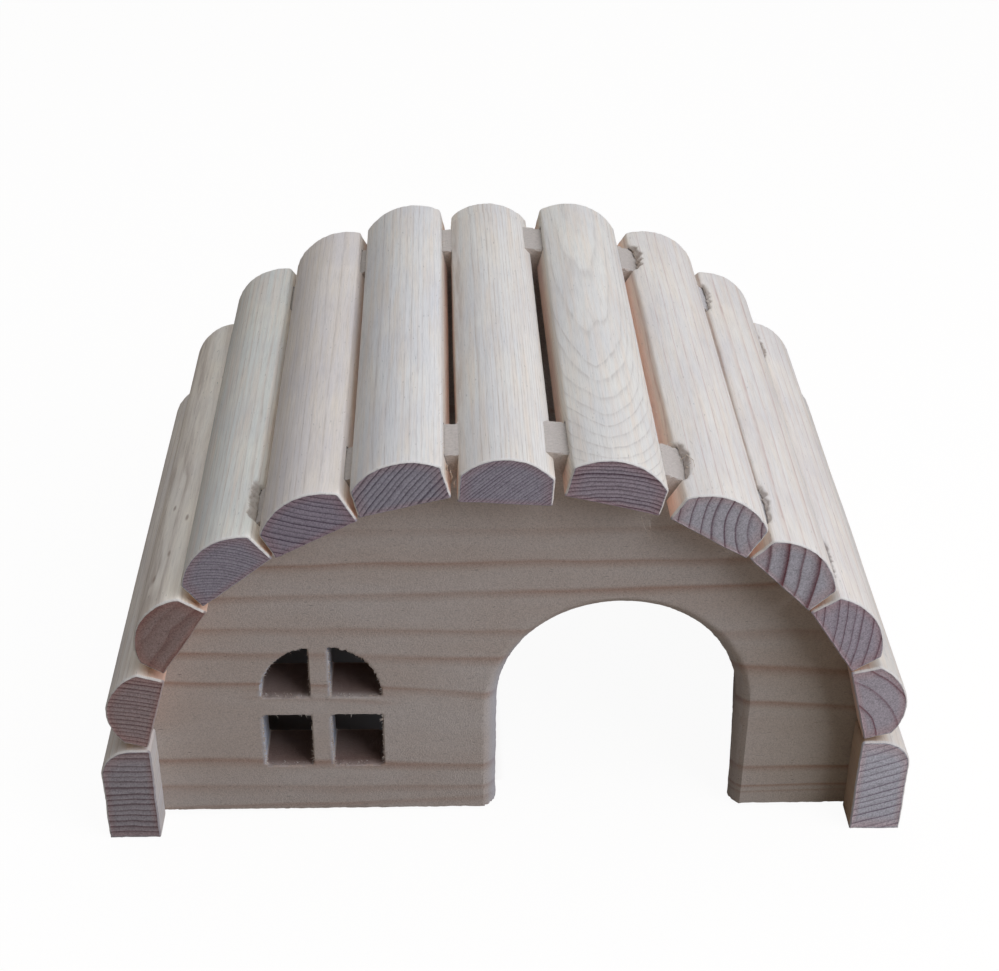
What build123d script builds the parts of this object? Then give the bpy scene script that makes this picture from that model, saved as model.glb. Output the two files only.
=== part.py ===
from build123d import *
import os
from collections import namedtuple
from math import cos, radians, sin

# Half-log house for a hamster. Two arched end panels stand between two side rails, and half-round
# roof slats run from end to end over their arched edges. Every slat and rail is notched from below
# or from inside where a panel passes, and the panel's edge is glued into the notch.
#
# Frame: the door faces -Y, +X is to the right seen from the front, and +Z is up. The origin is on
# the ground, under the middle of the house. Lengths are in millimetres and angles in degrees.

# ---- Driving dimensions ----

# The house as a whole
house_depth = 127.0  # every slat and rail, end to end
arch_centre_height = 9.2  # the roof and the panels are struck from this height
roof_span = 141.0  # angle from the middle of the first slat to the middle of the last

# Slat stock: a flat underside, short upright sides and a rounded back
slat_width = 20.0
slat_height = 11.4
slat_shoulder_radius = 1.2
slat_corner_radius = 0.5
slat_gap = 0.85  # between the lower corners of neighbours, when evenly laid
end_chamfer = 0.35  # sanded edge round the sawn ends of slats and rails

# The slats as they are glued down, from left to right seen from the front. A slat is turned a little
# along the arch, lifted off the even circle and leaned about its own length. Its two shoulders are
# planed to their own heights, and its rear end may be skewed to one side. One is wider than the rest,
# and wood beside the notches is torn out of some edges.
Slat = namedtuple(
    "Slat",
    "turn lift lean left_shoulder right_shoulder skew widen torn_left torn_right",
    defaults=(0.0, 0.0, 0.0, 0.0),
)
roof_slats = [
    Slat(turn=0.0, lift=-1.7, lean=-3.5, left_shoulder=5.5, right_shoulder=6.5),
    Slat(turn=0.5, lift=0.0, lean=-1.5, left_shoulder=6.0, right_shoulder=7.0, skew=-0.8),
    Slat(turn=0.0, lift=1.2, lean=3.5, left_shoulder=7.0, right_shoulder=7.5, skew=-0.2, torn_right=1.0),
    Slat(turn=-0.5, lift=0.0, lean=0.5, left_shoulder=7.0, right_shoulder=8.0, skew=-0.4),
    Slat(turn=-1.0, lift=0.4, lean=1.0, left_shoulder=7.0, right_shoulder=8.0, skew=-0.5),
    Slat(turn=-1.0, lift=-1.8, lean=4.5, left_shoulder=6.8, right_shoulder=6.8, skew=-1.0),
    Slat(turn=0.0, lift=0.1, lean=0.0, left_shoulder=7.4, right_shoulder=6.6, skew=-1.0, widen=0.8),
    Slat(turn=1.0, lift=-0.2, lean=2.0, left_shoulder=6.4, right_shoulder=8.4, skew=-1.9, torn_left=1.4),
    Slat(turn=0.7, lift=-0.5, lean=2.0, left_shoulder=6.8, right_shoulder=7.8, skew=-0.8, torn_left=1.0),
    Slat(turn=0.3, lift=-0.7, lean=0.0, left_shoulder=7.5, right_shoulder=7.6, torn_left=0.8),
    Slat(turn=-0.2, lift=-1.7, lean=4.8, left_shoulder=7.0, right_shoulder=6.5),
]

# Side rails: the upright pieces that the house stands on
rail_thickness = 12.0
rail_outer_radius = 7.5  # along the top outer edge
rail_inner_radius = 1.0  # along the top inner edge
rail_gap = 0.5  # from a rail's top to the lowest corner of the slat over it
rail_inset = 0.4  # the rails' inner faces stand in from the lowest roof corners

# End panels
panel_thickness = 12.8
panel_setback = 8.0  # from the slats' ends to the panels' outer faces
panel_bite = 6.4  # the arched edge stands this far above the slats' undersides
rail_bite = 6.9  # the straight side edges enter the rails by this much
panel_ground_gap = 1.0  # the rails carry the house, clear of the panels' lower edges
glue_gap = 0.1  # round a panel in its notches

# Doorway in the front panel: a round arch on upright jambs, open at the foot
door_radius = 27.4
door_spring_height = 31.5
door_post_width = 27.7  # panel left between the doorway and the right rail
door_nose = 3.0  # how far the rounded edge reaches back from the opening
door_nose_depth = 3.5  # from the front face to the narrowest part of the doorway
door_nose_bulge = 0.32  # how far the rounding stands out of a flat bevel, along each axis
door_relief = 1.0  # how much the doorway widens again towards the back on each side
door_foot_spread = 0.5  # the right jamb's narrowest line leans out by this much down to its foot
door_foot_relief = 2.1  # and this is its widening to the back there

# Window in the front panel: a round-headed opening with one crossing bar each way
window_radius = 13.7
window_sill_height = 14.6
window_spring_height = 35.6
window_margin = 24.2  # panel left between the left rail and the window
window_upright_width = 4.5
window_upright_offset = -0.3  # from the window's middle
window_crossbar_height = 5.2
window_crossbar_middle = 32.2
window_corner_radius = 0.6

# ---- Worked out from them ----

slat_step = roof_span / (len(roof_slats) - 1)
half_step = radians(slat_step / 2)
roof_radius = (slat_width * cos(half_step) + slat_gap) / (2 * sin(half_step))
arch_radius = roof_radius + panel_bite
notch_radius = arch_radius + glue_gap
notch_length = panel_thickness + 2 * glue_gap
panel_y = house_depth / 2 - panel_setback - panel_thickness / 2
cut_margin = 2.0  # how far a cutting shape runs past the face it starts from


def slat_angle(index):
    """Angle from the vertical at which a roof slat sits on the arch, positive to the right."""
    return slat_step * (index - (len(roof_slats) - 1) / 2) + roof_slats[index].turn


def across(index):
    """Direction across a roof slat's underside, to the right."""
    tilt = radians(slat_angle(index) + roof_slats[index].lean)
    return Vector(cos(tilt), 0, -sin(tilt))


def outward(index):
    """Direction from a roof slat's underside to its rounded back."""
    tilt = radians(slat_angle(index) + roof_slats[index].lean)
    return Vector(sin(tilt), 0, cos(tilt))


def underside_middle(index, y):
    """Middle of a roof slat's underside at y along the house."""
    slat = roof_slats[index]
    place = radians(slat_angle(index))
    radius = roof_radius + slat.lift
    even = Vector(radius * sin(place), y, arch_centre_height + radius * cos(place))
    return even + across(index) * slat.skew * (y / house_depth + 0.5)


def notch_depth(index):
    """Depth of a roof slat's notches: their flat floors just clear the panels' arched edges."""
    slat = roof_slats[index]
    underside_distance = (roof_radius + slat.lift) * cos(radians(slat.lean))
    return notch_radius - underside_distance


def slat_half_width(index):
    return (slat_width + roof_slats[index].widen) / 2


def lower_corner(index, side):
    """The lower end of an underside edge: side is -1 for the slat's left edge and 1 for its right."""
    reach = across(index) * side * slat_half_width(index)
    ends = [underside_middle(index, y) + reach for y in (-house_depth / 2, house_depth / 2)]
    return min(ends, key=lambda end: end.Z)


left_corner = lower_corner(0, -1)
right_corner = lower_corner(len(roof_slats) - 1, 1)
rail_inner = (right_corner.X - left_corner.X) / 2 - rail_inset
panel_half_width = rail_inner + rail_bite
door_x = rail_inner - door_post_width - door_radius
window_x = -rail_inner + window_margin + window_radius

os.makedirs("parts", exist_ok=True)


# ---- Roof slats ----


def roof_slat(index):
    """One half-round roof slat with a notch across its underside for each panel."""
    slat = roof_slats[index]
    half = slat_half_width(index)
    front_end = underside_middle(index, -house_depth / 2)
    run = underside_middle(index, house_depth / 2) - front_end
    with BuildPart() as piece:
        with BuildSketch(Plane(origin=front_end, x_dir=across(index), z_dir=(0, -1, 0))) as profile:
            with BuildLine():
                Polyline((-half, slat.left_shoulder), (-half, 0), (half, 0), (half, slat.right_shoulder))
                ThreePointArc((half, slat.right_shoulder), (0, slat_height), (-half, slat.left_shoulder))
            make_face()
            fillet(profile.vertices().group_by(Axis.Y)[0], slat_corner_radius)
            fillet(profile.vertices().sort_by(Axis.Y)[-2:], slat_shoulder_radius)
        extrude(amount=run.length, dir=run)
        chamfer(piece.faces().filter_by(Axis.Y).edges(), end_chamfer)
        for y in (-panel_y, panel_y):
            foot = underside_middle(index, y) - outward(index) * cut_margin
            notch_plane = Plane(origin=foot, x_dir=across(index), z_dir=outward(index))
            with BuildSketch(notch_plane):
                Rectangle(2 * (half + cut_margin), notch_length)
            extrude(amount=notch_depth(index) + cut_margin, mode=Mode.SUBTRACT)
            for side, torn in ((-1, slat.torn_left), (1, slat.torn_right)):
                if torn > 0:
                    with BuildSketch(notch_plane):
                        with Locations((side * half, 0)):
                            Ellipse(torn, notch_length / 2)
                    extrude(amount=slat_height + 2 * cut_margin, mode=Mode.SUBTRACT)
    return piece


for index in range(len(roof_slats)):
    name = f"roof_slat_{index + 1:02d}"
    slat_piece = roof_slat(index)
    slat_piece.part.label = name
    export_step(slat_piece.part, f"parts/{name}.step")


# ---- Side rails ----


def side_rail(side, height):
    """One upright rail: side is -1 for the left and 1 for the right."""
    middle = side * (rail_inner + rail_thickness / 2)
    with BuildPart() as piece:
        with BuildSketch(Plane.XZ) as profile:
            with Locations((middle, height / 2)):
                Rectangle(rail_thickness, height)
            top_corners = profile.vertices().group_by(Axis.Y)[-1].sort_by(Axis.X)
            outer_top = top_corners[-1] if side > 0 else top_corners[0]
            fillet(outer_top, rail_outer_radius)
            inner_top = profile.vertices().sort_by(Axis.Y)[-2:].sort_by(Axis.X)[0 if side > 0 else -1]
            fillet(inner_top, rail_inner_radius)
        extrude(amount=house_depth / 2, both=True)
        chamfer(piece.faces().filter_by(Axis.Y).edges(), end_chamfer)
        notch_reach = rail_bite + glue_gap + cut_margin
        notch_x = side * (rail_inner + rail_bite + glue_gap - notch_reach / 2)
        with BuildSketch(Plane.XY):
            with Locations((notch_x, -panel_y), (notch_x, panel_y)):
                Rectangle(notch_reach, notch_length)
        extrude(amount=height, mode=Mode.SUBTRACT)
    return piece


rail_heights = {
    -1: left_corner.Z - rail_gap,
    1: right_corner.Z - rail_gap,
}
for side, name in ((-1, "side_rail_left"), (1, "side_rail_right")):
    rail = side_rail(side, rail_heights[side])
    rail.part.label = name
    export_step(rail.part, f"parts/{name}.step")


# ---- End panels ----


def draw_panel_outline():
    """An arch with upright sides, drawn in the sketch that is open."""
    with Locations((0, arch_centre_height)):
        Circle(arch_radius)
    outline_height = arch_centre_height + arch_radius - panel_ground_gap
    with Locations((0, panel_ground_gap + outline_height / 2)):
        Rectangle(2 * panel_half_width, outline_height, mode=Mode.INTERSECT)


with BuildPart() as back_panel:
    with BuildSketch(Plane.XZ.offset(-panel_y)):
        draw_panel_outline()
    extrude(amount=panel_thickness / 2, both=True)

back_panel.part.label = "back_panel"
export_step(back_panel.part, "parts/back_panel.step")


door_axis = Axis((door_x, -panel_y, door_spring_height), (0, -1, 0))


def jamb_section(side, height, spread=0.0, relief=door_relief):
    """Half of the doorway's level section: a rounded nose at the front, then widening to the back."""
    front = -panel_thickness / 2
    back = panel_thickness / 2
    near = front - cut_margin
    far = back + cut_margin
    throat_y = front + door_nose_depth
    mouth = side * (door_radius + door_nose)
    throat = side * (door_radius + spread)
    rear = side * (door_radius + spread + relief)
    bulge = ((mouth + throat) / 2 - side * door_nose_bulge, (front + throat_y) / 2 - door_nose_bulge)
    with BuildSketch(Plane(origin=(door_x, -panel_y, height))) as section:
        with BuildLine():
            Polyline((0, far), (0, near), (mouth, near), (mouth, front))
            ThreePointArc((mouth, front), bulge, (throat, throat_y))
            Polyline((throat, throat_y), (rear, back), (rear, far), (0, far))
        make_face()
    return section.sketch


with BuildPart() as front_panel:
    with BuildSketch(Plane.XZ.offset(panel_y)):
        draw_panel_outline()
    extrude(amount=panel_thickness / 2, both=True)

    # Doorway: the arched head is turned about its centre and the jambs run down past the lower edge, the
    # left one upright and the right one sawn a little out of true
    revolve(jamb_section(1, door_spring_height), axis=door_axis, revolution_arc=180, mode=Mode.SUBTRACT)
    left_jamb = jamb_section(-1, door_spring_height)
    extrude(left_jamb, amount=door_spring_height, dir=(0, 0, -1), mode=Mode.SUBTRACT)
    right_foot = jamb_section(1, 0, door_foot_spread, door_foot_relief)
    loft([right_foot, jamb_section(1, door_spring_height)], ruled=True, mode=Mode.SUBTRACT)

    # Window: the whole opening less its two bars, cut straight through
    with BuildSketch(Plane.XZ.offset(panel_y)) as window:
        upright_sides = window_spring_height - window_sill_height
        with Locations((window_x, window_sill_height + upright_sides / 2)):
            Rectangle(2 * window_radius, upright_sides)
        with Locations((window_x, window_spring_height)):
            Circle(window_radius)
        with Locations((window_x, window_crossbar_middle)):
            Rectangle(2 * window_radius + cut_margin, window_crossbar_height, mode=Mode.SUBTRACT)
        bar_height = 2 * (window_radius + upright_sides)
        with Locations((window_x + window_upright_offset, window_spring_height)):
            Rectangle(window_upright_width, bar_height, mode=Mode.SUBTRACT)
        spring_line = [v for v in window.vertices() if abs(v.Y - window_spring_height) < 0.01]
        fillet([v for v in window.vertices() if v not in spring_line], window_corner_radius)
    extrude(amount=panel_thickness / 2, both=True, mode=Mode.SUBTRACT)

front_panel.part.label = "front_panel"
export_step(front_panel.part, "parts/front_panel.step")
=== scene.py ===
"""Looks of the wooden hamster house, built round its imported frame.

Every slat, rail and panel gets a dense mesh that follows its solid, with sanded arrises, uneven sawn
ends, torn notches and loose fibres, and a solid wood material whose growth rings run through the piece.
Lengths are in millimetres until a mesh is made. A colour is three sRGB values from 0 to 255, and what a
colour is multiplied by is four linear values.
"""

import itertools
import math
import random
from collections import namedtuple

import bmesh
import bpy
import numpy as np
from mathutils import Matrix, Vector
from mathutils.kdtree import KDTree


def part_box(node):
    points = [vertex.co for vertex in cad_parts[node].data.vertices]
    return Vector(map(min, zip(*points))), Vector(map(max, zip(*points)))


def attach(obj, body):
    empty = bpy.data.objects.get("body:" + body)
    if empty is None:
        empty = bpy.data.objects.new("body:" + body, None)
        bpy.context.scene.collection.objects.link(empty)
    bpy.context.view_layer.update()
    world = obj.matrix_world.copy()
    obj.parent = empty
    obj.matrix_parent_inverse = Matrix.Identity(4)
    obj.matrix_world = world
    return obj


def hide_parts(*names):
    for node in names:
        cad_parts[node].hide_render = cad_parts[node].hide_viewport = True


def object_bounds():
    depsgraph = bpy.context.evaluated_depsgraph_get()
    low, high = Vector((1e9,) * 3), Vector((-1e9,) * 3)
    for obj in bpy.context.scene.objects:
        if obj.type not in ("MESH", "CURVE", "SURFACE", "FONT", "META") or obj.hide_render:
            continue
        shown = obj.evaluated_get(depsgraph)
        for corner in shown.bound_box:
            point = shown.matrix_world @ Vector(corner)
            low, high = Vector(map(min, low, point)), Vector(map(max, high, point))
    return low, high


MM = 0.001  # metres in a millimetre
BODY = "root"

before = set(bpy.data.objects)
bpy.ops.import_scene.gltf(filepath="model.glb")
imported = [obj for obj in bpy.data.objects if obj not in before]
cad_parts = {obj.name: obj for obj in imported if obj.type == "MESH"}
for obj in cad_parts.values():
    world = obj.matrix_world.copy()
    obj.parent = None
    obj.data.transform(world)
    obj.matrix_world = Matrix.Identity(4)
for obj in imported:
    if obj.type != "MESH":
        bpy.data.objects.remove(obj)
cad_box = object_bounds()
CAD_LOW, CAD_HIGH = (np.array(corner) / MM for corner in cad_box)

# ---- Camera ----

PHOTO_SIZE = (999, 971)
FOCAL_PIXELS = 1791.2  # of the photograph's camera
CAMERA_PLACE = (-13.2, -370.7, 294.3)
CAMERA_YAW = 1.96  # degrees, towards the right
CAMERA_PITCH = 32.75  # downwards
CAMERA_ROLL = -0.66

# ---- Mesh density and wear ----

OUTLINE_STEP = 0.5  # round a board's section
LENGTH_STEP = 1.0  # along a board
NOTCH_STEP = 0.4  # along a board where it is notched
END_CHAMFER = 0.35  # the frame's sanded edge round each sawn end
STRAIGHT_EDGE = 4.0  # an outline edge longer than this is flat in the real board
SOFT_CORNER = 40.0  # degrees: an outline turning less than this is a curve, and more is an arris
ARRIS = 0.3  # how far back an arris is rounded
ARRIS_TURN = 25.0  # degrees between two points round an arris
SHARP_EDGE = math.radians(50)  # a board's mesh edge sharper than this is shaded as one
PANEL_SHARP = math.radians(32)  # a panel's
SOLID_EDGE = math.radians(20)  # and a solid's own edge that the panel's mesh keeps
CAP_RINGS = (0.97, 0.9, 0.78, 0.62, 0.44, 0.25, 0.1)  # a sawn end's inner rings, as shares of its outline
SANDED = 0.12  # how much wood sanding took off the saw-cut solid
TOOTH_LENGTH = 3.4  # along a board, from one torn tooth to the next
FRONT_VOXEL = 0.58  # the panels' mesh sizes
BACK_VOXEL = 0.7
EDGE_STEP = 0.05  # between the points on a solid's sharp edge that a panel's mesh is moved to
EDGE_REACH = 0.42  # in voxels: a point this near a solid's sharp edge moves onto it
WELD_REACH = 0.15  # in voxels: points this near each other are merged
SAME_POINT = 1e-6  # metres: points this near each other are one
FUZZ_RADIUS = 0.045
HAIR_SHARES = (-0.12, 0.35, 0.72, 1.0)  # where a hair's points lie along it

# ---- The front panel and its window ----

PANEL_FRONT = -55.5  # Y of its front face
TORN_IN = 2.5  # how far in from that face the panes' edges are torn
PANE_SHADE_START = -56.0  # Y from which the panes' cuts are painted darker, as painted shade, more and more
PANE_SHADE_RUN = 3.4  # over which that painted shade would grow to full strength
PANE_SHADE_MOST = 0.85
LIT_PANE_CUT = 0.9  # how pale the painted light makes the cuts that face right, towards the light, at the window
LIT_DOOR_CUT = 0.32  # and elsewhere
WINDOW_X = -42.2
WINDOW_RADIUS = 13.7
WINDOW_SPRING = 35.6
WINDOW_REACH = 17.0  # a point this near WINDOW_X and between the next two heights is at the window
WINDOW_LOW = 12.0
WINDOW_HIGH = 52.0
BAR_SIDES = (-2.5, 2.0)  # the upright bar's sides, from WINDOW_X
LOWER_PANE = (14.6, 29.5, 29.5)  # heights of its sill and of the tops of its outer and bar sides
UPPER_PANE = (34.9, 37.0, 47.5)
MANY_HAIRS = 16  # in each millimetre of a pane's torn edge
FEW_HAIRS = 2.5


def colour(red, green, blue):
    """An sRGB colour from 0 to 255 as the linear colour that Blender's sockets take."""
    linear = [((c / 255 + 0.055) / 1.055) ** 2.4 if c > 10 else c / 255 / 12.92 for c in (red, green, blue)]
    return (*linear, 1.0)


def noise_at(points, seed):
    """Smooth noise from -1 to 1 at each row of points, the same on every run."""
    cell = np.floor(points).astype(np.int64)
    part = points - cell
    ease = part * part * (3 - 2 * part)
    total = np.zeros(len(points))
    for corner in itertools.product((0, 1), repeat=3):
        key = (cell + corner) @ np.array([73856093, 19349663, 83492791]) + seed * 668265263
        key = (key ^ (key >> 15)) * 2246822519 % (1 << 32)
        key = (key ^ (key >> 13)) * 3266489917 % (1 << 32)
        value = (key ^ (key >> 16)) / (1 << 31) - 1
        total += value * np.prod(np.where(corner, ease, 1 - ease), axis=1)
    return total


def new_object(name, data):
    """An object in the scene with this mesh, lamp or camera."""
    made = bpy.data.objects.new(name, data)
    bpy.context.scene.collection.objects.link(made)
    return made


# ---- Boards: slats and rails, swept along their own sections ----

# How much is torn out of a board's left and right edge at its front and back notch, how deep the teeth at
# the back one are, and where a saw step crosses its top
Wear = namedtuple("Wear", "torn_left torn_right teeth step", defaults=((0, 0), (0, 0), 0.0, None))
# A board's mesh as it grows: its points, three things that each point carries, its faces, and which faces
# are sawn end grain
Skin = namedtuple("Skin", "verts grain flanks raws faces ends")
FLANK_HEIGHT = 6.5  # from a board's mating face to where its flank ends


def node_points(node):
    """A CAD node's separate corner points, in millimetres."""
    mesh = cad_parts[node].data
    points = np.array([v.co for v in mesh.vertices]) / MM
    return np.unique(np.round(points, 3), axis=0)


def end_corners(points, y):
    """The corners of a board's convex section at y, in order round it, as X and Z."""
    ring = points[np.abs(points[:, 1] - y) < 0.03][:, [0, 2]]
    out = ring - ring.mean(axis=0)
    return ring[np.argsort(np.arctan2(out[:, 1], out[:, 0]))]


def edges_of(corners):
    """The length and the unit direction of each edge that leaves a corner."""
    edges = np.roll(corners, -1, axis=0) - corners
    lengths = np.linalg.norm(edges, axis=1)
    return lengths, edges / lengths[:, None]


def turn_between(first, second):
    """The angle between two unit vectors, in degrees."""
    return math.degrees(math.acos(np.clip(first @ second, -1, 1)))


def cut_arrises(corners):
    """A section's corners with each sharp one cut back to two, so that it can be rounded."""
    lengths, ways = edges_of(corners)
    kept = []
    for i, corner in enumerate(corners):
        if turn_between(ways[i - 1], ways[i]) > SOFT_CORNER:
            kept.append(corner - ways[i - 1] * min(ARRIS, 0.4 * lengths[i - 1]))
            kept.append(corner + ways[i] * min(ARRIS, 0.4 * lengths[i]))
        else:
            kept.append(corner)
    return np.array(kept)


def smooth_outline(corners):
    """Points round a section, at most OUTLINE_STEP apart, with its arrises rounded and its curved sides
    curved, and their outward normals."""
    corners = cut_arrises(corners)
    following = np.roll(corners, -1, axis=0)
    lengths, ways = edges_of(corners)
    tangents = []
    for i in range(len(corners)):
        if max(lengths[i], lengths[i - 1]) > STRAIGHT_EDGE:
            tangent = ways[i] if lengths[i] > lengths[i - 1] else ways[i - 1]
        else:
            tangent = ways[i - 1] + ways[i]
        tangents.append(tangent / np.linalg.norm(tangent))
    points, normals = [], []
    for i in range(len(corners)):
        leave, arrive = tangents[i], tangents[(i + 1) % len(corners)]
        count = math.ceil(max(lengths[i] / OUTLINE_STEP, turn_between(leave, arrive) / ARRIS_TURN, 1))
        for t in np.arange(count) / count:
            point = (
                (2 * t**3 - 3 * t**2 + 1) * corners[i]
                + (t**3 - 2 * t**2 + t) * leave * lengths[i]
                + (3 * t**2 - 2 * t**3) * following[i]
                + (t**3 - t**2) * arrive * lengths[i]
            )
            along = (1 - t) * leave + t * arrive
            points.append(point)
            normals.append(np.array([along[1], -along[0]]) / np.linalg.norm(along))
    return np.array(points), np.array(normals)


def mating_face(corners):
    """A section's longest flat edge, which lies on the panels: its middle, its half width, the direction
    along it with the wood on its left, and the direction into the wood."""
    edges = np.roll(corners, -1, axis=0) - corners
    longest = np.argmax(np.linalg.norm(edges, axis=1))
    middle = corners[longest] + edges[longest] / 2
    along = edges[longest] / np.linalg.norm(edges[longest])
    return middle, np.linalg.norm(edges[longest]) / 2, along, np.array([-along[1], along[0]])


def notches(points, middle, inward):
    """A board's notches: the Y range of each, and how deep their floors lie."""
    found = []
    for panel_node in ("front_panel", "back_panel"):
        low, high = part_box(panel_node)
        middle_y = (low.y + high.y) / 2 / MM
        half = (high.y - low.y) / 2 / MM
        near = points[np.abs(np.abs(points[:, 1] - middle_y) - half) < 0.2]
        depths = (near[:, [0, 2]] - middle) @ inward
        wall = np.abs(near[:, 1] - middle_y).max()
        found.append((middle_y - wall, middle_y + wall, depths[depths > 1.0].min()))
    return found


def board_stations(low_y, high_y, cuts):
    """Where a board's rings lie: Y, how far the ring is drawn in, and the notch floor it is cut to."""
    stations = [(low_y, END_CHAMFER, 0.0), (low_y + 0.12, 0.16, 0.0), (low_y + END_CHAMFER, 0.03, 0.0)]
    at = low_y + END_CHAMFER + 0.4
    for start, stop, depth in [*cuts, (high_y - END_CHAMFER - 0.4, None, None)]:
        count = max(1, round((start - at) / LENGTH_STEP))
        stations += [(y, 0.0, 0.0) for y in np.linspace(at, start, count + 1)]
        if stop is None:
            break
        inside = np.linspace(start, stop, max(2, round((stop - start) / NOTCH_STEP)) + 1)
        stations += [(y, 0.0, depth) for y in inside]
        at = stop
    ends = [(high_y - END_CHAMFER, 0.03, 0.0), (high_y - 0.12, 0.16, 0.0), (high_y, END_CHAMFER, 0.0)]
    return stations + ends


def worn_ring(outline, normals, across, y, inset, step, seed):
    """A section's outline at y, drawn in by sanding, by uneven sawing and by a saw step across its top."""
    spots = np.column_stack([outline, np.full(len(outline), y)])
    wave = 0.10 * noise_at(spots * [0.16, 0.16, 0.03], seed)
    ridges = 0.04 * noise_at(spots * [1.1, 1.1, 0.05], seed + 1)
    ragged = 0.08 * noise_at(spots * [1.3, 1.3, 0.7], seed + 2) * (inset > 0)
    drawn_in = SANDED + inset + wave + ridges + ragged
    if step is not None:
        drawn_in = drawn_in + 0.16 * np.clip((y - step - 0.02 * across**2) / 0.5, 0, 1)
    return outline - normals * drawn_in[:, None]


def torn_depth(y, torn, teeth, cuts, seed):
    """How far wood is torn out of an edge at y: a ragged bite at each notch, toothed at the rear one."""
    total = 0.0
    for deepest, (start, stop, _) in zip(torn, cuts):
        place = (y - (start + stop) / 2) / ((stop - start) / 2 + 0.8)
        if deepest and abs(place) < 1:
            ragged = noise_at(np.array([[y * 0.9, seed, 0.5], [y * 2.3, seed, 4.5]]), seed)
            bite = math.sqrt(1 - place**2)
            tooth = teeth * (abs(y / TOOTH_LENGTH % 1 - 0.35) - 0.3) if start > 0 else 0.0
            total = max(total, bite * (deepest + 0.35 * ragged[0] + 0.3 * ragged[1]) + tooth)
    return total


def torn_ring(ring, outline, y, mating, wear, cuts, seed):
    """A ring less the wood torn out of its two edges at y, and how dark the torn wood is at each point,
    partly its own colour and partly painted shade deep in the bite.
    """
    middle, half, along, _ = mating
    spots = np.column_stack([outline, np.full(len(outline), y)])
    raw = np.zeros(len(ring))
    for side, torn in ((-1, wear.torn_left), (1, wear.torn_right)):
        bite = torn_depth(y, torn, wear.teeth, cuts, seed + 5 + side)
        if bite:
            past = np.maximum(side * ((ring - middle) @ along) - (half - bite), 0.0)
            raw = np.maximum(raw, 0.5 * np.clip((past - 0.15) / 0.5, 0, 1))
            rough = 0.4 * raw * noise_at(spots * 1.7, seed + 9)
            ring = ring - side * (past + rough * (past > 0))[:, None] * along
    return ring, raw


def close_end(skin, first, count, toward, seed):
    """Closes a board's end with rings of points that shrink to its heart, dished a little inwards."""
    base, base_grain = (np.array(rows[first : first + count]) for rows in (skin.verts, skin.grain))
    heart, heart_grain = base.mean(axis=0), base_grain.mean(axis=0)
    previous = first
    for share in CAP_RINGS:
        ring = heart + (base - heart) * share
        ring[:, 1] += toward * 0.12 * (0.5 + 0.5 * noise_at(ring * [0.5, 0.1, 0.5], seed + 3))
        start = len(skin.verts)
        skin.verts.extend(map(tuple, ring))
        skin.grain.extend(map(tuple, heart_grain + (base_grain - heart_grain) * share))
        skin.flanks.extend([share] * count)
        for i in range(count):
            j = (i + 1) % count
            skin.faces.append((previous + i, previous + j, start + j, start + i)[::toward])
            skin.ends.append(1.0)
        previous = start
    skin.verts.append((heart[0], heart[1] + toward * 0.06, heart[2]))
    skin.grain.append(tuple(heart_grain))
    skin.flanks.append(0.0)
    for i in range(count):
        skin.faces.append((previous + i, previous + (i + 1) % count, len(skin.verts) - 1)[::toward])
        skin.ends.append(1.0)


def board(node, wear=Wear(), seed=0):
    """A slat or rail as a dense mesh that follows its CAD node, with worn and torn edges, and where on its
    long shoulders sanding raised hairs: lines of points, and their normals."""
    points = node_points(node)
    low_y, high_y = points[:, 1].min(), points[:, 1].max()
    corners = end_corners(points, low_y + END_CHAMFER)
    skew = end_corners(points, high_y - END_CHAMFER).mean(axis=0) - corners.mean(axis=0)
    outline, normals = smooth_outline(corners)
    mating = middle, _, along, inward = mating_face(corners)
    cuts = notches(points, middle, inward)
    count = len(outline)
    centre = outline.mean(axis=0)
    across = (outline - middle) @ along
    skin = Skin([], [], [], [], [], [])
    for y, inset, depth in board_stations(low_y, high_y, cuts):
        ring = worn_ring(outline, normals, across, y, inset, wear.step, seed)
        ring, raw = torn_ring(ring, outline, y, mating, wear, cuts, seed)
        if depth:
            short = np.maximum(depth - (ring - middle) @ inward, 0.0)
            ring = ring + short[:, None] * inward
        shift = skew * (y - low_y) / (high_y - low_y)
        skin.verts.extend((x + shift[0], y, z + shift[1]) for x, z in ring)
        skin.grain.extend((x - centre[0], y, z - centre[1]) for x, z in ring)
        skin.flanks.extend(np.clip(1 - (ring - middle) @ inward / FLANK_HEIGHT, 0, 1))
        skin.raws.extend(raw)
    rings = len(skin.verts) // count
    for r in range(rings - 1):
        is_wall = abs(skin.verts[(r + 1) * count][1] - skin.verts[r * count][1]) < 1e-6
        for i in range(count):
            j = (i + 1) % count
            skin.faces.append((r * count + i, (r + 1) * count + i, (r + 1) * count + j, r * count + j))
            skin.ends.append(float(is_wall))
    close_end(skin, 0, count, 1, seed)
    close_end(skin, (rings - 1) * count, count, -1, seed)
    skin.raws.extend([0.0] * (len(skin.verts) - len(skin.raws)))
    shoulders = np.nonzero(np.abs(across) > 0.9 * np.abs(across).max())[0]
    sides = np.array(skin.verts[: rings * count]).reshape(rings, count, 3)[8:-8]
    piece = new_piece(f"{node}_wood", skin)
    return piece, [sides[:, i] for i in shoulders], normals[shoulders]


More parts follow.
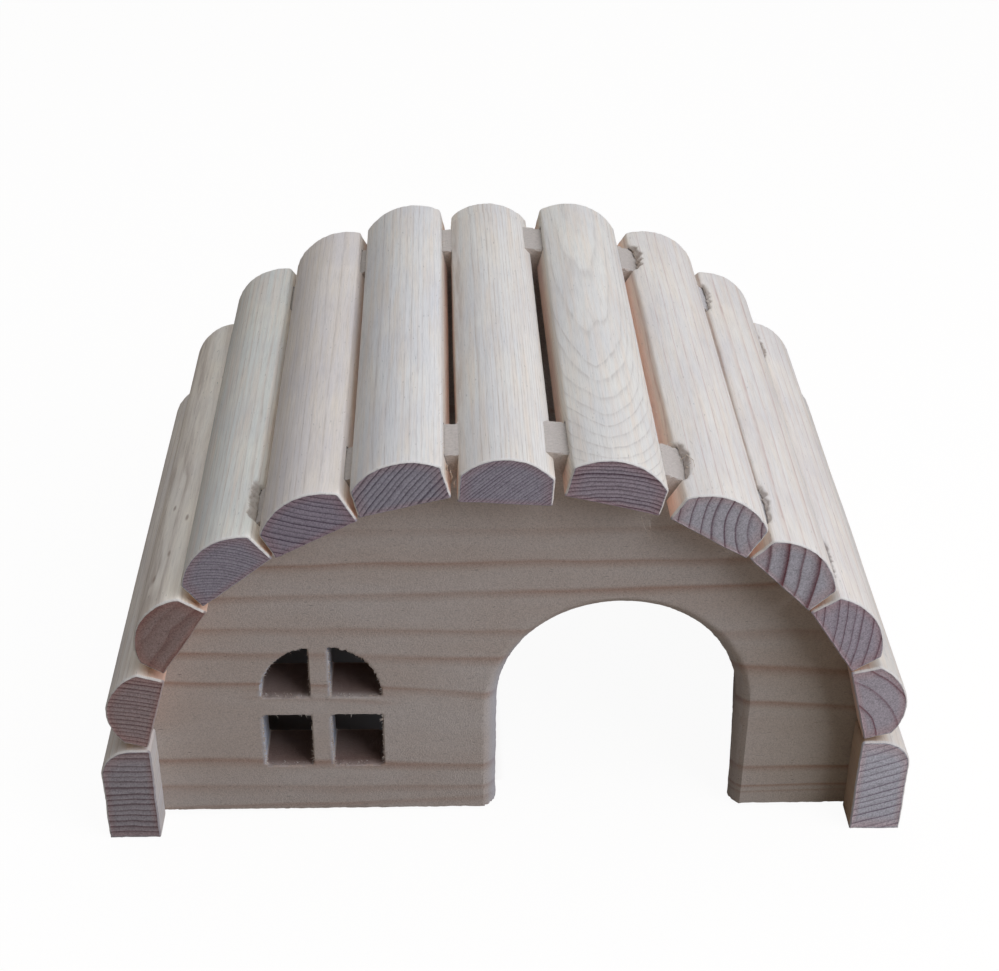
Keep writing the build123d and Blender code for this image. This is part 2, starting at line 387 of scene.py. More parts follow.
def new_piece(name, skin):
    """A mesh object from a skin, with the attributes that the wood material reads."""
    mesh = bpy.data.meshes.new(name)
    mesh.from_pydata([Vector(v) * MM for v in skin.verts], [], skin.faces)
    mark(mesh, skin.grain, skin.flanks, skin.raws, skin.ends)
    shell = bmesh.new()
    shell.from_mesh(mesh)
    bmesh.ops.remove_doubles(shell, verts=shell.verts, dist=SAME_POINT)
    bmesh.ops.dissolve_degenerate(shell, edges=shell.edges, dist=SAME_POINT)
    bmesh.ops.recalc_face_normals(shell, faces=shell.faces)
    shell.to_mesh(mesh)
    shell.free()
    mesh.shade_smooth()
    mesh.set_sharp_from_angle(angle=SHARP_EDGE)
    return new_object(name, mesh)


def mark(mesh, grain, flanks, raws, ends):
    """Writes a mesh's attributes: where each point was in the tree, how low on a flank or near an end's rim
    it is, torn wood and painted shade that are coloured dark, or below 0 painted light, and sawn end grain."""
    places = mesh.attributes.new("grain", "FLOAT_VECTOR", "POINT")
    places.data.foreach_set("vector", np.array(grain).ravel())
    for name, domain, values in (("flank", "POINT", flanks), ("raw", "POINT", raws), ("end", "FACE", ends)):
        mesh.attributes.new(name, "FLOAT", domain).data.foreach_set("value", np.array(values))


# ---- Panels: remeshed from their solids ----


def drawn_to_edges(co, source, reach):
    """Points with those near a sharp edge of the solid moved onto it, so that its arrises stay crisp."""
    solid = bmesh.new()
    solid.from_mesh(source.data)
    bmesh.ops.remove_doubles(solid, verts=solid.verts, dist=SAME_POINT)
    spots = []
    for edge in solid.edges:
        if len(edge.link_faces) == 2 and edge.calc_face_angle(0.0) > SOLID_EDGE:
            first, last = (np.array(v.co) / MM for v in edge.verts)
            steps = max(1, math.ceil(np.linalg.norm(last - first) / EDGE_STEP))
            spots += [first + (last - first) * k / steps for k in range(steps + 1)]
    solid.free()
    tree = KDTree(len(spots))
    for number, spot in enumerate(spots):
        tree.insert(spot, number)
    tree.balance()
    moved = co.copy()
    for number, point in enumerate(co):
        spot, _, distance = tree.find(point)
        if distance < reach:
            moved[number] = spot
    return moved


def rows_of(elements, name):
    """A property of a mesh's points or faces, as rows of X, Y and Z."""
    values = np.zeros(len(elements) * 3)
    elements.foreach_get(name, values)
    return values.reshape(-1, 3)


def remeshed(source, name, voxel):
    """A new object with an even dense mesh that is drawn back onto a CAD node's surface."""
    mesh = source.data.copy()
    made = new_object(name, mesh)
    welded = bmesh.new()
    welded.from_mesh(mesh)
    bmesh.ops.remove_doubles(welded, verts=welded.verts, dist=SAME_POINT)
    welded.to_mesh(mesh)
    welded.free()
    remesh = made.modifiers.new("remesh", "REMESH")
    remesh.mode = "VOXEL"
    remesh.voxel_size = voxel * MM
    drawn = made.modifiers.new("draw_back", "SHRINKWRAP")
    drawn.target = source
    dense = bpy.data.meshes.new_from_object(made.evaluated_get(bpy.context.evaluated_depsgraph_get()))
    dense.name = name
    made.modifiers.clear()
    made.data = dense
    dense.materials.clear()
    return made


def panel_wear(co, out, seed):
    """How much wood is worn off a panel at each point, and how dark it is painted there: painted shade in
    the panes' cuts, and painted light below 0 on cuts that face right.
    """
    sawn = np.clip((0.9 - np.abs(out[:, 1])) / 0.4, 0, 1)
    coarse, fine = noise_at(co * [0.5, 0.12, 0.5], seed), noise_at(co * [1.6, 0.4, 1.6], seed + 1)
    worn = sawn * (0.10 + 0.09 * coarse + 0.09 * fine)
    near_front = np.clip((PANEL_FRONT + TORN_IN - co[:, 1]) / TORN_IN, 0, 1)
    in_window = (co[:, 1] < 0) & (np.abs(co[:, 0] - WINDOW_X) < WINDOW_REACH)
    in_window &= (co[:, 2] > WINDOW_LOW) & (co[:, 2] < WINDOW_HIGH)
    torn = sawn * near_front * in_window
    worn += torn * (0.32 * noise_at(co * [1.1, 0.5, 1.1], seed + 2) + 0.30 * noise_at(co * 2.2, seed + 3))
    worn += (1 - sawn) * 0.03 * (1 + noise_at(co * [0.1, 0.1, 0.8], seed + 4))
    # Painted shade darkens the panes' cuts deeper in, and cuts that face right, towards the light, get
    # painted light
    pane_shade = sawn * in_window * np.clip((co[:, 1] - PANE_SHADE_START) / PANE_SHADE_RUN, 0, PANE_SHADE_MOST)
    lit_cut = sawn * np.clip((out[:, 0] - 0.4) / 0.3, 0, 1)
    return worn, pane_shade * (1 - lit_cut) - lit_cut * np.where(in_window, LIT_PANE_CUT, LIT_DOOR_CUT)


def panel(node, voxel, seed):
    """A panel as a dense mesh drawn back onto its CAD node, with ragged sawn edges round its openings."""
    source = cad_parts[node]
    made = remeshed(source, f"{node}_wood", voxel)
    mesh = made.data
    co = drawn_to_edges(rows_of(mesh.vertices, "co") / MM, source, EDGE_REACH * voxel)
    mesh.vertices.foreach_set("co", (co * MM).ravel())
    mesh.update()
    out = rows_of(mesh.vertices, "normal")
    worn, raw = panel_wear(co, out, seed)
    co -= out * worn[:, None]
    mesh.vertices.foreach_set("co", (co * MM).ravel())
    tidied = bmesh.new()
    tidied.from_mesh(mesh)
    raws = tidied.verts.layers.float.new("raw")
    for vert, value in zip(tidied.verts, raw):
        vert[raws] = value
    bmesh.ops.remove_doubles(tidied, verts=tidied.verts, dist=WELD_REACH * voxel * MM)
    tidied.to_mesh(mesh)
    tidied.free()
    co = rows_of(mesh.vertices, "co") / MM
    raw = np.zeros(len(co))
    mesh.attributes["raw"].data.foreach_get("value", raw)
    mesh.attributes.remove(mesh.attributes["raw"])
    ends = (np.abs(rows_of(mesh.polygons, "normal")[:, 1]) < 0.7).astype(float)
    # A panel's wood grew along its X, which is Y in grain space
    mark(mesh, co[:, [2, 0, 1]], np.zeros(len(co)), raw, ends)
    mesh.shade_smooth()
    mesh.set_sharp_from_angle(angle=PANEL_SHARP)
    return made


# ---- Loose fibres ----


def strand_mesh(name, strands):
    """One mesh of tapered three-sided fibres. A strand is its points from root to tip, and its radius."""
    verts, faces = [], []
    for path, radius in strands:
        path = np.array(path)
        start, bands = len(verts), len(path) - 1
        for k in range(bands):
            way = path[k + 1] - path[k]
            side = np.cross(way, [0.31, 0.87, 0.38])
            side /= np.linalg.norm(side)
            other = np.cross(way / np.linalg.norm(way), side)
            for corner in range(3):
                turn = math.tau * corner / 3
                reach = radius * (1 - 0.6 * k / bands)
                verts.append(path[k] + (side * math.cos(turn) + other * math.sin(turn)) * reach)
        verts.append(path[-1])
        faces.append((start + 2, start + 1, start))
        for first in range(start, start + 3 * (bands - 1), 3):
            for a, b in ((0, 1), (1, 2), (2, 0)):
                faces.append((first + a, first + b, first + 3 + b, first + 3 + a))
        last = len(verts) - 1
        faces += [(last - 3, last - 2, last), (last - 2, last - 1, last), (last - 1, last - 3, last)]
    mesh = bpy.data.meshes.new(name)
    mesh.from_pydata([Vector(v) * MM for v in verts], [], faces)
    return new_object(name, mesh)


def hair(root, way, length, bend):
    """A hair's points: it starts a little inside the wood and bends sideways towards its tip."""
    way = way / np.linalg.norm(way)
    return [root + way * length * share + bend * length * share * abs(share) for share in HAIR_SHARES]


def inside_box(path):
    """Whether a fibre stays inside the frame's box, which the looks must not leave."""
    path = np.array(path)
    return np.all(path > CAD_LOW + FUZZ_RADIUS) and np.all(path < CAD_HIGH - FUZZ_RADIUS)


def board_fuzz(node, edges, normals, amount, seed):
    """Fine hairs raised by sanding along a board's two long shoulders."""
    rng = random.Random(seed)
    strands = []
    for _ in range(amount):
        pick = rng.randrange(len(edges))
        root = edges[pick][rng.randrange(len(edges[pick]))] + np.array([0, rng.uniform(-0.5, 0.5), 0])
        out = np.array([normals[pick][0], rng.uniform(-0.9, 0.9), normals[pick][1]])
        bend = np.array([rng.uniform(-0.5, 0.5), rng.uniform(-0.5, 0.5), rng.uniform(-0.6, 0.3)])
        path = hair(root, out, rng.uniform(0.15, 0.55) ** 1.2 + 0.1, bend)
        if inside_box(path):
            strands.append((path, FUZZ_RADIUS))
    return strand_mesh(f"{node}_fuzz", strands)


def window_fuzz(seed):
    """Torn fibres round the front edges of the panes, thickest on the upright edges at their left."""
    rng = random.Random(seed)
    left, right = WINDOW_X - WINDOW_RADIUS, WINDOW_X + WINDOW_RADIUS
    bar_left, bar_right = (WINDOW_X + side for side in BAR_SIDES)
    runs = []  # start, end, way into the pane, hairs in each millimetre
    for sill, side_top, bar_top in (LOWER_PANE, UPPER_PANE):
        runs += [
            ((left, sill), (left, side_top), (1, 0), MANY_HAIRS),
            ((bar_right, sill), (bar_right, bar_top), (1, 0), MANY_HAIRS),
            ((bar_left, sill), (bar_left, bar_top), (-1, 0), FEW_HAIRS),
            ((left, sill), (bar_left, sill), (0, 1), FEW_HAIRS),
            ((bar_right, sill), (right, sill), (0, 1), FEW_HAIRS),
        ]
    sill, top, _ = LOWER_PANE
    runs += [((right, sill), (right, top), (-1, 0), FEW_HAIRS), ((left, top), (right, top), (0, -1), 1.5)]
    turns = [math.radians(180 - 12 * k) for k in range(16)]
    arc = [(math.cos(turn) * WINDOW_RADIUS, math.sin(turn) * WINDOW_RADIUS) for turn in turns]
    arc = [(WINDOW_X + x, WINDOW_SPRING + z) for x, z in arc]
    for near, far, turn in zip(arc, arc[1:], turns):
        if abs(near[0] - WINDOW_X) > 3.0:
            runs.append((near, far, (-math.cos(turn), -math.sin(turn)), 3))
    strands = []
    for (x0, z0), (x1, z1), (way_x, way_z), per_mm in runs:
        for _ in range(round(per_mm * math.hypot(x1 - x0, z1 - z0))):
            share, depth = rng.random(), 0.15 + rng.uniform(0.0, 1.3) ** 1.5
            root = np.array([x0 + (x1 - x0) * share, PANEL_FRONT + depth, z0 + (z1 - z0) * share])
            stray = [rng.uniform(-0.6, 0.6), rng.uniform(-0.8, 0.2), rng.uniform(-0.6, 0.6)]
            way = np.array([way_x, 0.0, way_z]) + stray
            bend = np.array([rng.uniform(-0.4, 0.4), rng.uniform(-0.3, 0.3), rng.uniform(-0.5, 0.3)])
            length, radius = rng.uniform(0.25, 0.75), rng.uniform(0.04, 0.09)
            strands.append((hair(root - way * 0.15, way, length, bend), radius))
    return strand_mesh("window_fuzz", strands)


# ---- Wood, as node trees ----

BOARD_FRONT = -63.0  # Y of a board's front end
SWELL_FADE = 36.0  # how far behind it the swelling of its rings dies away
TIP = 62.5  # distance from a board's middle at which its last millimetre starts


class Tree:
    """Short names for the node work of one node tree."""

    def __init__(self, tree):
        self.tree = tree

    def node(self, kind, **settings):
        made = self.tree.nodes.new(kind)
        for name, value in settings.items():
            setattr(made, name, value)
        return made

    def feed(self, socket, value):
        """Links an output into a socket, or sets the socket's own value."""
        if isinstance(value, bpy.types.NodeSocket):
            self.tree.links.new(value, socket)
        elif value is not None:
            socket.default_value = value

    def math(self, operation, first, second=None, third=None, clamp=False):
        made = self.node("ShaderNodeMath", operation=operation, use_clamp=clamp)
        for socket, value in zip(made.inputs, (first, second, third)):
            self.feed(socket, value)
        return made.outputs[0]

    def vector(self, operation, first, second=None):
        made = self.node("ShaderNodeVectorMath", operation=operation)
        self.feed(made.inputs[0], first)
        self.feed(made.inputs[1], second)
        return made.outputs["Value" if operation == "LENGTH" else "Vector"]

    def scaled(self, vector, scale):
        made = self.node("ShaderNodeVectorMath", operation="SCALE")
        self.feed(made.inputs[0], vector)
        self.feed(made.inputs["Scale"], scale)
        return made.outputs[0]

    def split(self, vector):
        made = self.node("ShaderNodeSeparateXYZ")
        self.feed(made.inputs[0], vector)
        return made.outputs

    def noise(self, place, stretch=(1, 1, 1), detail=2.0, roughness=0.5, output="Fac"):
        made = self.node("ShaderNodeTexNoise", noise_dimensions="3D")
        self.feed(made.inputs["Vector"], self.vector("MULTIPLY", place, stretch))
        made.inputs["Scale"].default_value = 1.0
        made.inputs["Detail"].default_value = detail
        made.inputs["Roughness"].default_value = roughness
        return made.outputs[output]

    def ramp(self, value, *stops):
        """A colour ramp's output. A stop is a place and a grey level or a colour."""
        made = self.node("ShaderNodeValToRGB")
        elements = made.color_ramp.elements
        while len(elements) < len(stops):
            elements.new(0.5)
        for element, (place, level) in zip(elements, stops):
            element.position = place
            element.color = level if isinstance(level, tuple) else (level, level, level, 1)
        self.feed(made.inputs["Fac"], value)
        return made.outputs["Color"]

    def mix(self, share, first, second, blend="MIX"):
        made = self.node("ShaderNodeMix", data_type="RGBA", blend_type=blend)
        colours = [s for s in made.inputs if s.type == "RGBA"]
        self.feed(made.inputs[0], share)
        self.feed(colours[0], first)
        self.feed(colours[1], second)
        return next(s for s in made.outputs if s.type == "RGBA")

    def attribute(self, name, output):
        return self.node("ShaderNodeAttribute", attribute_name=name).outputs[output]


def new_material(name):
    """A material, its node tree and its shader."""
    material = bpy.data.materials.new(name)
    material.use_nodes = True
    return material, Tree(material.node_tree), material.node_tree.nodes["Principled BSDF"]


def growth_group():
    """A node group: growth rings about a pith, and the fibres along it, in a board's grain space."""
    group = bpy.data.node_groups.new("growth", "ShaderNodeTree")
    for name in ("Grain", "Pith", "Away"):
        group.interface.new_socket(name, in_out="INPUT", socket_type="NodeSocketVector")
    for name in ("Swell", "Ring Width", "Wander", "Late Width"):
        group.interface.new_socket(name, in_out="INPUT", socket_type="NodeSocketFloat")
    for name in ("Late", "Tone", "Fibre", "Streak", "Cloud", "Break"):
        group.interface.new_socket(name, in_out="OUTPUT", socket_type="NodeSocketFloat")
    t = Tree(group)
    given = t.node("NodeGroupInput").outputs
    result = t.node("NodeGroupOutput").inputs
    grain = given["Grain"]
    along = t.split(grain)["Y"]
    from_front = t.math("MULTIPLY", t.math("SUBTRACT", along, BOARD_FRONT), -1 / SWELL_FADE)
    swell = t.math("MULTIPLY", t.math("EXPONENT", from_front), given["Swell"])
    nearer = t.scaled(given["Away"], t.math("MULTIPLY", swell, -1.0))
    axis = t.vector("ADD", given["Pith"], nearer)
    out = t.vector("SUBTRACT", grain, axis)
    sway = t.noise(grain, (0.16, 0.03, 0.16), 1.5, 0.5, output="Color")
    out = t.vector("ADD", out, t.scaled(t.vector("SUBTRACT", sway, (0.5, 0.5, 0.5)), given["Wander"]))
    radius = t.vector("LENGTH", t.vector("MULTIPLY", out, (1, 0, 1)))
    turns = t.math("DIVIDE", radius, given["Ring Width"])
    uneven = t.node("ShaderNodeTexNoise", noise_dimensions="1D")
    t.feed(uneven.inputs["W"], t.math("MULTIPLY", turns, 0.45))
    uneven.inputs["Scale"].default_value = 1.0
    phase = t.math("ADD", turns, t.math("MULTIPLY", uneven.outputs["Fac"], 0.8))
    ring = t.node("ShaderNodeTexWhiteNoise", noise_dimensions="1D")
    t.feed(ring.inputs["W"], t.math("FLOOR", phase))
    grown = t.math("FRACT", phase)
    rings_to_late = t.math("DIVIDE", given["Ring Width"], given["Late Width"])
    to_edge = t.math("MULTIPLY", t.math("SUBTRACT", 1.0, grown), rings_to_late)
    to_edge = t.math("MULTIPLY", to_edge, 1 / 3)
    late = t.ramp(to_edge, (0.0, 0.5), (0.06, 1.0), (0.2, 0.8), (0.45, 0.25), (1.0, 0.0))
    after_edge = t.ramp(t.math("MULTIPLY", grown, rings_to_late), (0.0, 0.5), (0.4, 0.0))
    t.feed(result["Late"], t.math("MAXIMUM", late, after_edge))
    t.feed(result["Tone"], ring.outputs["Value"])
    t.feed(result["Fibre"], t.noise(grain, (4.2, 0.18, 4.2), 3.0, 0.65))
    t.feed(result["Streak"], t.noise(grain, (0.7, 0.03, 0.7), 2.0, 0.6))
    t.feed(result["Cloud"], t.noise(grain, (0.12, 0.04, 0.12), 2.0, 0.5))
    t.feed(result["Break"], t.noise(grain, (1.2, 0.09, 1.2), 2.0, 0.6))
    return group


GROWTH = growth_group()
PALE = (232, 226, 219)
LINE = (206, 192, 178)
RED_LINE = (208, 184, 172)
MID_END = (172, 167, 174)
RIGHT_END = (188, 184, 188)
STREAK = (231, 219, 205)
STAIN = (134, 100, 78)
# Dark torn wood, which also paints the shade in the bites and in the panes' cuts
RAW_AND_SHADE = (104, 76, 64)
# Painted light: the pale bluish colour of cuts that face the light from the right
LIT_CUT = (218, 227, 242)
RIM_HIGHLIGHT = (234, 228, 219)
RIM_STAIN = (1.06, 0.88, 0.84, 1.0)  # what the rim of an end is multiplied by
COOL_PATCH = (0.95, 0.945, 0.95, 1.0)  # and a face, where its mottling is dark
WARM_PATCH = (1.06, 1.045, 1.0, 1.0)  # and where it is light
UPPER_FLANK_SHADE = (0.99, 0.93, 0.87, 1)  # and the upper part of its flanks, as painted warm shade

# A board's wood: how far apart its rings are, which way its pith lies in degrees from straight down and how
# far off, the colours of its faces and their ring lines, the same for its ends, how thick a line is on an
# end, how far the rings wander, how much they swell at the front end, how dark the flecks are, the painted
# shade and reflected light that the low part of the flanks is multiplied by, and its stains: the place,
# size and strength of each
Wood = namedtuple(
    "Wood",
    "spacing lean bend face line end end_line late wander swell flecks flank marks",
    defaults=(0.0, 0.25, (0.98, 0.75, 0.66, 1.0), ()),
)


def wood_surface(t, shader, grain, face, end, fibre, porous, flecks):
    """Shared finish of sawn and sanded pine: pores on its ends, flecks and fine fibres on its faces, dark
    torn wood that also paints the shade deep in its bites, painted shade in the panes' cuts, and painted
    light on cuts that face the light."""
    is_end = t.attribute("end", "Fac")
    pores = t.noise(grain, (3.0, 1.0, 3.0), 3.0, 0.75)
    mottle = t.ramp(pores, (0.3, 1 - porous), (0.5, 1.0), (0.7, 1 + 0.7 * porous))
    end = t.mix(1.0, end, mottle, "MULTIPLY")
    face = t.mix(1.0, face, t.ramp(fibre, (0.22, 0.85), (0.5, 1.0), (0.8, 1.06)), "MULTIPLY")
    dashes = t.noise(grain, (2.4, 0.5, 2.4), 1.0, 0.5)
    face = t.mix(1.0, face, t.ramp(dashes, (0.7, 1.0), (0.8, 1.0 - flecks)), "MULTIPLY")
    surface = t.mix(is_end, face, end)
    raw = t.attribute("raw", "Fac")
    # Torn wood, and painted shade in the bites and the panes' cuts, turn dark; below 0, painted light pales
    # cuts that face the light
    surface = t.mix(t.math("MULTIPLY", raw, 0.9, clamp=True), surface, colour(*RAW_AND_SHADE))
    surface = t.mix(t.math("MULTIPLY", raw, -0.9, clamp=True), surface, colour(*LIT_CUT))
    t.feed(shader.inputs["Base Color"], surface)
    shader.inputs["Roughness"].default_value = 0.85
    shader.inputs["Specular IOR Level"].default_value = 0.2
    bump = t.node("ShaderNodeBump")
    bump.inputs["Strength"].default_value = 0.7
    bump.inputs["Distance"].default_value = 0.08 * MM
    t.feed(bump.inputs["Height"], t.math("ADD", fibre, t.math("MULTIPLY", pores, is_end)))
    t.feed(shader.inputs["Normal"], bump.outputs["Normal"])


def softwood(name, wood):
    """The material of one slat or rail."""
    material, t, shader = new_material(name)
    lean = math.radians(wood.lean)
    away = Vector((math.sin(lean), 0, -math.cos(lean)))
    growth = t.node("ShaderNodeGroup", node_tree=GROWTH)
    grain = t.attribute("grain", "Vector")
    # Sanding leaves a ring thinner on a face than the saw does on an end
    late_width = t.math("MULTIPLY_ADD", t.attribute("end", "Fac"), 0.55 * wood.late, 0.45 * wood.late)
    settings = {
        "Grain": grain,
        "Pith": tuple(away * wood.bend),
        "Away": tuple(away),
        "Swell": wood.swell,
        "Ring Width": wood.spacing,
        "Wander": wood.wander,
        "Late Width": late_width,
    }
    for socket, value in settings.items():
        t.feed(growth.inputs[socket], value)
    grown = growth.outputs
    line = t.math("MULTIPLY", grown["Late"], t.math("MULTIPLY_ADD", grown["Tone"], 0.4, 0.6))
    streak = t.ramp(grown["Streak"], (0.42, 0.0), (0.72, 0.8))
    face = t.mix(streak, colour(*wood.face), colour(*STREAK))
    face = t.mix(1.0, face, t.ramp(grown["Cloud"], (0.32, COOL_PATCH), (0.66, WARM_PATCH)), "MULTIPLY")
    broken = t.ramp(grown["Break"], (0.38, 0.35), (0.6, 1.0))
    face = t.mix(t.math("MULTIPLY", line, broken), face, colour(*wood.line))
    for place, size, depth in wood.marks:
        away_from = t.vector("MULTIPLY", t.vector("SUBTRACT", grain, place), [1 / s for s in size])
        stain = t.ramp(t.vector("LENGTH", away_from), (0.35, depth), (1.0, 0.0))
        face = t.mix(stain, face, colour(*STAIN))
    past_tip = t.math("SUBTRACT", t.math("ABSOLUTE", t.split(grain)["Y"]), TIP)
    near_edge = t.attribute("flank", "Fac")
    # Painted shade and warm reflected light on a board's flanks, deeper towards its mating face
    low = t.math("MULTIPLY", near_edge, t.ramp(past_tip, (0.3, 1.0), (0.6, 0.0)))
    tint = t.ramp(low, (0.0, (1, 1, 1, 1)), (0.2, UPPER_FLANK_SHADE), (0.65, wood.flank))
    face = t.mix(1.0, face, tint, "MULTIPLY")
    # A pale rim round each end is a painted highlight where the sanded arris catches the light, and a dark
    # one along its mating edge is painted shade
    rim = t.math("ADD", past_tip, t.math("MULTIPLY", t.noise(grain, (1.5, 1.5, 1.5)), 0.5))
    rim = t.ramp(rim, (0.65, 0.0), (0.95, 0.8))
    face = t.mix(t.math("MULTIPLY", rim, t.ramp(near_edge, (0.8, 1.0), (0.88, 0.0))), face, colour(*RIM_HIGHLIGHT))
    mating_edge_shade = t.ramp(past_tip, (0.4, 0.0), (0.7, 0.9))
    mating_edge_shade = t.math("MULTIPLY", mating_edge_shade, t.ramp(near_edge, (0.84, 0.0), (0.9, 1.0)))
    face = t.mix(mating_edge_shade, face, colour(*wood.end))
    end = t.mix(line, colour(*wood.end), colour(*wood.end_line))
    end = t.mix(1.0, end, t.ramp(near_edge, (0.7, (1, 1, 1, 1)), (0.98, RIM_STAIN)), "MULTIPLY")
    wood_surface(t, shader, grain, face, end, grown["Fibre"], 0.4, wood.flecks)
    return material


PANEL_TOP = 88.0  # height, and distance to each side, that the panels' ramps run to
PANEL = (203, 193, 183)
PANEL_WARM = (199, 186, 174)
PANEL_BAND = (176, 146, 128)
PANEL_RIGHT_SHADE = (0.73, 0.69, 0.61, 1.0)  # painted shade that the panels' right end, beside the right rail, is multiplied by
PANEL_EDGE = (198, 188, 178)
PANEL_EDGE_BAND = (170, 146, 136)
# How steeply the panel's bands rise to the right, at heights given as shares of PANEL_TOP
BAND_RISE = (
    (0.04, 0.03), (0.083, -0.011), (0.16, -0.03), (0.4, -0.068),
    (0.51, -0.05), (0.6, -0.019), (0.72, 0.022), (0.81, 0.01),
)
# The panels' bands of late wood: height, half width and strength
FRONT_BANDS = (
    (4.1, 0.7, 0.55), (7.3, 0.8, 0.8), (14.0, 1.1, 0.9), (35.3, 1.0, 0.9), (45.0, 1.3, 0.9),
    (53.0, 1.1, 0.7), (63.8, 1.1, 0.9), (71.3, 1.0, 0.8), (80.0, 0.9, 0.35),
)
BACK_BANDS = (
    (5.5, 1.0, 0.8), (12.0, 0.8, 0.7), (21.0, 1.1, 0.9), (29.5, 1.0, 0.6), (40.5, 1.3, 0.9),
    (49.0, 1.0, 0.8), (58.5, 1.2, 0.7), (69.0, 1.0, 0.9), (77.0, 1.1, 0.6),
)
WINDOW_BANDS = ((31.0, 0.5, 0.5), (33.4, 0.6, 0.6))
DARK_FIBRE = (206, 186, 164)
LIGHT_FIBRE = (236, 230, 220)


def band_ramp(t, level, bands):
    """How strong a panel's bands are at a level. Each darkens slowly upwards and ends sharply."""
    stops = []
    for at, half, strength in bands:
        stops += [(at - 1.8 * half, 0.0), (at + 0.2 * half, strength), (at + half, 0.0)]
    return t.ramp(level, *[(at / PANEL_TOP, strength) for at, strength in stops])


def flat_sawn(name, bands, short_bands):
    """The panels' material: a flat-sawn board whose few growth rings show as long level bands."""
    material, t, shader = new_material(name)
    grain = t.attribute("grain", "Vector")
    place = t.split(grain)
    height, across = place["X"], place["Y"]
    share = t.math("MULTIPLY", height, 1 / PANEL_TOP)
    # A ramp's 0 to 1 stands for rises from -0.1 to 0.1
    slope = t.ramp(share, *[(z, 0.5 + rise * 5) for z, rise in BAND_RISE])
    slope = t.math("MULTIPLY_ADD", slope, 0.2, -0.1)
    level = t.math("SUBTRACT", height, t.math("MULTIPLY", slope, across))
    sway = t.noise(grain, (0.1, 0.022, 0.03), 2.0, 0.5)
    level = t.math("ADD", level, t.math("MULTIPLY_ADD", sway, 3.0, -1.5))
    depth = t.math("MULTIPLY", t.math("SUBTRACT", place["Z"], PANEL_FRONT), 0.25)
    level = t.math("MULTIPLY", t.math("ADD", level, depth), 1 / PANEL_TOP)
    from_left = t.math("MULTIPLY_ADD", across, 1 / PANEL_TOP, 1.0)
    short = t.ramp(from_left, (0.3, 0.0), (0.36, 1.0), (0.66, 1.0), (0.74, 0.0))
    short = t.math("MULTIPLY", band_ramp(t, level, short_bands), short)
    band = t.math("MAXIMUM", band_ramp(t, level, bands), short)
    faint = t.ramp(t.noise(grain, (0.2, 0.015, 0.2), 2.0, 0.5), (0.35, 0.55), (0.6, 1.0))
    band = t.math("MULTIPLY", band, faint)
    # The fibres of a panel run along its X, which is its grain space's Y
    fibre = t.math("MULTIPLY_ADD", t.noise(grain, (3.4, 2.2, 3.4), 3.0, 0.75), 2.6, -0.8)
    cloud = t.noise(grain, (0.1, 0.03, 0.1), 2.0, 0.5)
    face = t.mix(t.ramp(cloud, (0.35, 0.0), (0.65, 1.0)), colour(*PANEL), colour(*PANEL_WARM))
    face = t.mix(band, face, colour(*PANEL_BAND))
    # Painted shade darkens the panels towards their right end
    right_shade = t.ramp(t.math("MULTIPLY", across, 1 / PANEL_TOP), (0.5, (1, 1, 1, 1)), (0.92, PANEL_RIGHT_SHADE))
    face = t.mix(1.0, face, right_shade, "MULTIPLY")
    end = t.mix(band, colour(*PANEL_EDGE), colour(*PANEL_EDGE_BAND))
    wood_surface(t, shader, grain, face, end, fibre, 0.15, 0.4)
    return material


def loose_fibre_material():
    """The material of hairs, torn fibres and splinters: pale wood that varies from one to the next."""
    material, t, shader = new_material("loose_fibre")
    tone = t.noise(t.node("ShaderNodeTexCoord").outputs["Object"], (900, 900, 900))
    tone = t.ramp(tone, (0.35, colour(*DARK_FIBRE)), (0.65, colour(*LIGHT_FIBRE)))
    t.feed(shader.inputs["Base Color"], tone)
    shader.inputs["Roughness"].default_value = 0.9
    return material


# ---- The pieces ----

